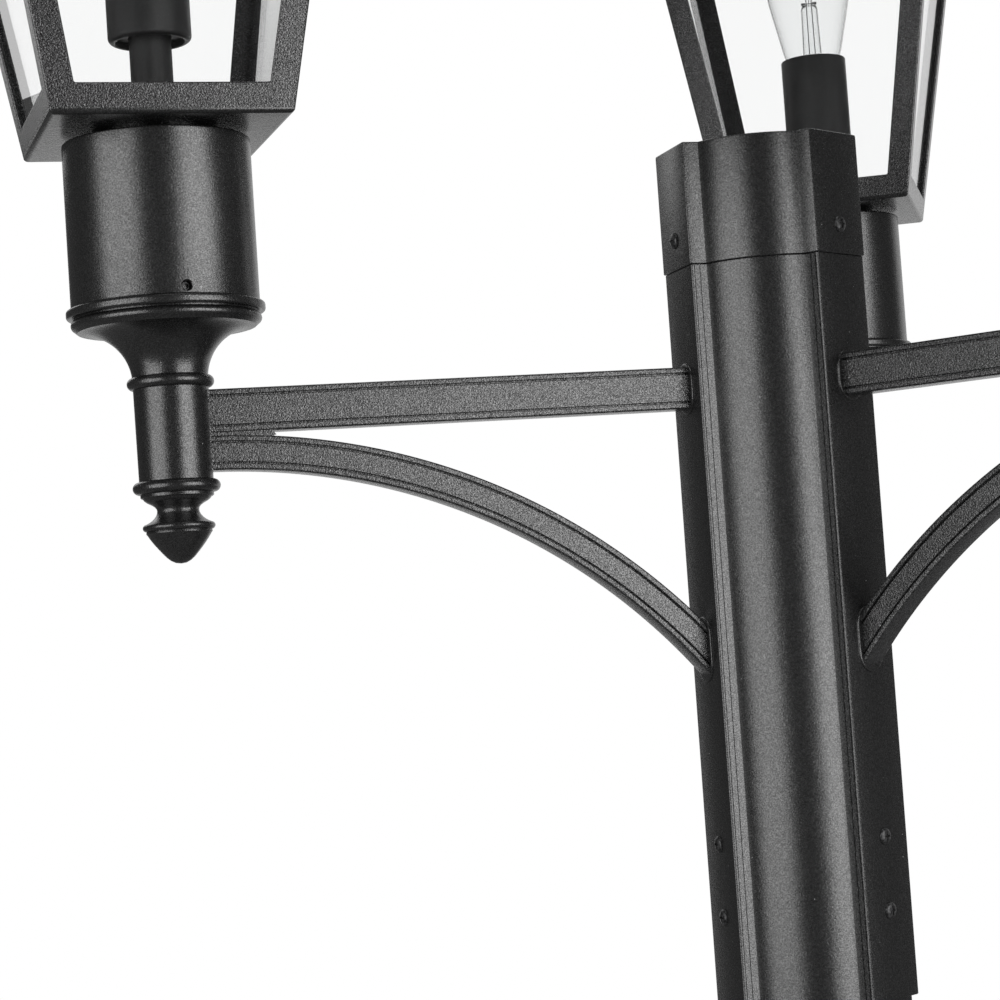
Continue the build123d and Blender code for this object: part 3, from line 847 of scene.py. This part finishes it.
def lamp_outline():
    """Outer profile of the lamp's glass, from the cap's rim to the crown."""
    neck = [(13.4, 94.3), (15.6, 94.8), (16.4, 97.0), (17.2, 100.0), (19.4, 110.0), (21.9, 121.0)]
    body = [(23.8, 130.0), (24.6, 137.0), (24.95, 146.0), (25.0, 160.0)]
    crown = arc(0, CROWN_BASE, CROWN_RADIUS, 12, 84, 14)
    return neck + body + [(r, CROWN_BASE + (z - CROWN_BASE) * CROWN_STRETCH) for r, z in crown]


def build_lamp(side):
    """Clear lamp: thin glass envelope, inner stem with its wires, filament and cap."""
    place = at_lantern(side, TRAY_BASE)
    body = f"lamp_{side}"
    outer = lamp_outline()
    inner = [(max(r - GLASS_WALL, 0.3), z - 0.5 if r < 12 and z > 150 else z) for r, z in outer]
    bm = bmesh.new()
    lathe(bm, mm(outer + [(0.05, 198.9), (0.05, 198.3)] + inner[::-1]), ring=True, segments=72)
    finish_piece(f"bulb_{side}", bm, BULB, body, [f"lamp_{side}"], place)
    bm = bmesh.new()
    cap = [(4.0, 67.1), (7.5, 68.2), (11.5, 70.0), (12.2, 71.5)]
    for turn in range(6):
        z = 72.5 + 3.2 * turn
        cap += [(13.0, z), (12.2, z + 1.6)]
    cap += [(12.6, 92.0), (13.0, 94.2), (12.2, 94.3)]
    lathe(bm, mm(cap), segments=48)
    finish_piece(f"lamp_cap_{side}", bm, CAP_METAL, body, (), place)
    bm = bmesh.new()
    tube = [(6.4, 94.6), (5.7, 96.0), (5.4, 99.0), (4.9, 124.0), (4.3, 126.4), (2.6, 127.8)]
    bore = [(0.3, 127.9), (0.3, 127.2), (2.3, 127.1), (3.7, 125.9), (4.3, 124.0), (4.8, 99.0), (5.1, 95.2)]
    lathe(bm, mm(tube + bore), ring=True, segments=32)
    finish_piece(f"lamp_stem_{side}", bm, BULB, body, (), place)
    bm = bmesh.new()
    for sign in (-1, 1):
        lead = [(0, sign * 1.7, 94.4), (0, sign * 1.5, 129), (0, sign * 2.6, 141), (0, sign * 9.0, 163)]
        wire(bm, lead, LEAD_RADIUS)
        support = [(0, 0, 127), (sign * 1.0, 0, 140), (sign * 3.0, 0, 156), (sign * 8.0, 0, 164)]
        wire(bm, support, SUPPORT_RADIUS)
        coil = []
        for turn in [math.tau * i / 12 for i in range(31)]:
            across = sign * (3.3 + 1.1 * math.cos(turn))
            coil.append((1.3 * math.sin(turn), across, 127.4 + 0.5 * turn / math.tau))
        wire(bm, coil, SUPPORT_RADIUS)
    ring = [(9.0 * math.cos(a), 9.0 * math.sin(a), 163 + 1.2 * math.cos(3 * a)) for a in filament_angles()]
    wire(bm, ring, FILAMENT_RADIUS)
    finish_piece(f"lamp_wires_{side}", bm, WIRE, body, (), place)


def filament_angles():
    return [math.radians(-180 + 350 * i / 28) for i in range(29)]


def wire(bm, points, radius):
    """Round wire along points in millimetres."""
    path = [Vector(point) * MM for point in points]
    loops = []
    for i, point in enumerate(path):
        along = (path[min(i + 1, len(path) - 1)] - path[max(i - 1, 0)]).normalized()
        first = along.orthogonal().normalized()
        second = along.cross(first)
        if loops:
            previous = loops[-1][0] - path[i - 1]
            first = (previous - along * previous.dot(along)).normalized()
            second = along.cross(first)
        turns = [math.tau * k / WIRE_SIDES for k in range(WIRE_SIDES)]
        loops.append([point + (first * math.cos(t) + second * math.sin(t)) * radius * MM for t in turns])
    skin(bm, loops)


# Pieces whose solids are right as they are


def keep(node, material, bevel):
    """Gives a solid of the frame its finish, and softens its edges."""
    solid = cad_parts[node]
    solid.data.materials.clear()
    solid.data.materials.append(material)
    weld = solid.modifiers.new("weld", "WELD")
    weld.merge_threshold = 0.00001
    if bevel:
        rounding = solid.modifiers.new("edge", "BEVEL")
        rounding.width = bevel
        rounding.segments = 2
        rounding.limit_method = "ANGLE"
        rounding.angle_limit = math.radians(25)
        shading = solid.modifiers.new("shading", "WEIGHTED_NORMAL")
        shading.keep_sharp = True


def keep_solids():
    for side in SIDES:
        keep(f"roof_{side}", COAT, 0.6 * MM)
        keep(f"roof_finial_{side}", COAT, 0.5 * MM)
        keep(f"roof_strap_{side}", ZINC, 0)
    keep("base_cover", COAT, 1.2 * MM)
    keep("base_cover_screws", SCREW, 0.3 * MM)
    keep("base_flange", COAT, 0.8 * MM)
    keep("pole_spigot", COAT, 0.4 * MM)
    keep("flange_bolts", ZINC, 0.3 * MM)


# Studio

FLOOR_RADIUS = 4.0
FLOOR_FADE = (0.55, 0.95)
HIGH_AIM = 2.0
BACK_AZIMUTH = 97
FRONT_LEVEL = 0.08
LOW_LEVEL = 0.16
BACK_LEVEL = 0.83
FILL_LEVEL = 0.6
BACK_EDGE = (0.84, 0.94)
UPWARD_WIDENING = (0.25, 0.45, 0.0, 0.2)
DOWNWARD_FADE = (-0.40, -0.18, 0.1, 1.0)
LOW_SPAN = (-0.7, 0.0)

# Soft lights: name, azimuth, distance, height, width, tall, radiance
PANELS = (
    ("left_panel", 236, 2.0, 1.78, 1.6, 1.6, 2.75),
    ("right_panel", 328, 1.35, 1.76, 1.2, 1.3, 3.8),
    ("back_panel", 62, 2.6, 1.9, 0.9, 1.8, 0.7),
    ("high_back_panel", 141, 2.5, 2.95, 0.7, 1.3, 1.15),
    ("top_panel", 0, 0.01, 4.2, 1.8, 1.8, 1.6),
)


def lamp_panel(name, azimuth, distance, height, width, tall, radiance):
    """Rectangular soft light of a given brightness that faces the post."""
    data = bpy.data.lights.new(name, "AREA")
    data.shape = "RECTANGLE"
    data.size = width
    data.size_y = tall
    data.energy = radiance * math.pi * width * tall
    panel = bpy.data.objects.new(name, data)
    angle = math.radians(azimuth)
    panel.location = (distance * math.cos(angle), distance * math.sin(angle), height)
    aim = Vector((0, 0, min(height, HIGH_AIM)))
    panel.rotation_euler = (aim - panel.location).to_track_quat("-Z", "Y").to_euler()
    panel.visible_camera = False
    panel.visible_transmission = False
    bpy.context.scene.collection.objects.link(panel)


def build_floor():
    """Pale floor that fades into the white background well away from the object."""
    bm = bmesh.new()
    angles = [math.tau * i / ROUND for i in range(ROUND)]
    rim = [(FLOOR_RADIUS * math.cos(a), FLOOR_RADIUS * math.sin(a)) for a in angles]
    bm.faces.new([bm.verts.new((x, y, 0)) for x, y in rim])
    mesh = bpy.data.meshes.new("floor")
    bm.to_mesh(mesh)
    bm.free()
    floor = bpy.data.objects.new("floor", mesh)
    bpy.context.scene.collection.objects.link(floor)
    nodes = Nodes("pale_floor")
    nodes.use(Base_Color=nodes.ramp(nodes.noise(3, 2.0), 0.3, 0.7, (0.80, 0.80, 0.80), (0.84, 0.84, 0.84)))
    nodes.set(Roughness=0.9)
    out = nodes.add("ShaderNodeVectorMath", {0: nodes.place}, operation="LENGTH").outputs["Value"]
    fade = nodes.add("ShaderNodeMapRange", {"Value": out}, interpolation_type="SMOOTHSTEP")
    fade.inputs["From Min"].default_value = FLOOR_RADIUS * FLOOR_FADE[0]
    fade.inputs["From Max"].default_value = FLOOR_RADIUS * FLOOR_FADE[1]
    clear = nodes.add("ShaderNodeBsdfTransparent")
    mix = nodes.add("ShaderNodeMixShader", {0: fade.outputs["Result"]})
    nodes.tree.links.new(nodes.shader.outputs[0], mix.inputs[1])
    nodes.tree.links.new(clear.outputs[0], mix.inputs[2])
    nodes.tree.links.new(mix.outputs[0], nodes.tree.nodes["Material Output"].inputs["Surface"])
    mesh.materials.append(nodes.material)
    floor.visible_glossy = False


def build_world():
    """White where the camera or glass sees it. Gloss sees it light behind the object and dim in front."""
    world = bpy.data.worlds.new("studio")
    world.use_nodes = True
    bpy.context.scene.world = world
    tree = world.node_tree
    links = tree.links

    def math_node(operation, first, second):
        node = tree.nodes.new("ShaderNodeMath")
        node.operation = operation
        for i, value in enumerate((first, second)):
            if isinstance(value, (int, float)):
                node.inputs[i].default_value = value
            else:
                links.new(value, node.inputs[i])
        return node.outputs[0]

    def span(value, low, high, to_low, to_high, smooth=False):
        node = tree.nodes.new("ShaderNodeMapRange")
        node.interpolation_type = "SMOOTHSTEP" if smooth else "LINEAR"
        names = ("Value", "From Min", "From Max", "To Min", "To Max")
        for name, setting in zip(names, (value, low, high, to_low, to_high)):
            if isinstance(setting, (int, float)):
                node.inputs[name].default_value = setting
            else:
                links.new(setting, node.inputs[name])
        return node.outputs["Result"]

    path = tree.nodes.new("ShaderNodeLightPath").outputs
    ray = tree.nodes.new("ShaderNodeTexCoord").outputs["Generated"]
    back = tree.nodes.new("ShaderNodeVectorMath")
    back.operation = "DOT_PRODUCT"
    links.new(ray, back.inputs[0])
    angle = math.radians(BACK_AZIMUTH)
    back.inputs[1].default_value = (math.cos(angle), math.sin(angle), 0)
    parts = tree.nodes.new("ShaderNodeSeparateXYZ")
    links.new(ray, parts.inputs[0])
    widened = math_node("ADD", back.outputs["Value"], span(parts.outputs["Z"], *UPWARD_WIDENING))
    behind = span(widened, *BACK_EDGE, 0.0, 1.0, smooth=True)
    raised = span(parts.outputs["Z"], *DOWNWARD_FADE, smooth=True)
    front = span(parts.outputs["Z"], *LOW_SPAN, LOW_LEVEL, FRONT_LEVEL)
    gloss = span(math_node("MULTIPLY", behind, raised), 0.0, 1.0, front, BACK_LEVEL)
    bounced = math_node("GREATER_THAN", path["Glossy Depth"], 0.5)
    through = math_node("MULTIPLY", path["Is Transmission Ray"], bounced)
    mirrored = math_node("MAXIMUM", path["Is Glossy Ray"], through)
    unseen = span(mirrored, 0.0, 1.0, FILL_LEVEL, gloss)
    bounces = math_node("ADD", path["Diffuse Depth"], path["Glossy Depth"])
    direct = math_node("MULTIPLY", path["Is Transmission Ray"], math_node("LESS_THAN", bounces, 0.5))
    seen = math_node("MAXIMUM", path["Is Camera Ray"], direct)
    background = tree.nodes["Background"]
    background.inputs["Color"].default_value = (1, 1, 1, 1)
    links.new(span(seen, 0.0, 1.0, unseen, 1.0), background.inputs["Strength"])


def build_studio():
    build_floor()
    build_world()
    for panel in PANELS:
        lamp_panel(*panel)
    camera_data = bpy.data.cameras.new("camera")
    camera_data.lens = CAMERA_LENS
    camera_data.sensor_width = SENSOR
    camera_data.clip_start = CLIP_START
    camera = bpy.data.objects.new("camera", camera_data)
    camera.location = CAMERA_PLACE
    camera.rotation_euler = Euler([math.radians(angle) for angle in CAMERA_TILT], "XYZ")
    bpy.context.scene.collection.objects.link(camera)
    bpy.context.scene.camera = camera
    bpy.context.scene.view_settings.view_transform = "Standard"


build_studio()
build_post()
build_screws()
for side in SIDES:
    build_bar(side)
    build_brace(side)
    build_hub(side)
    build_cup(side)
    build_cage(side)
    build_panes(side)
    build_holder(side)
    build_lamp(side)
keep_solids()
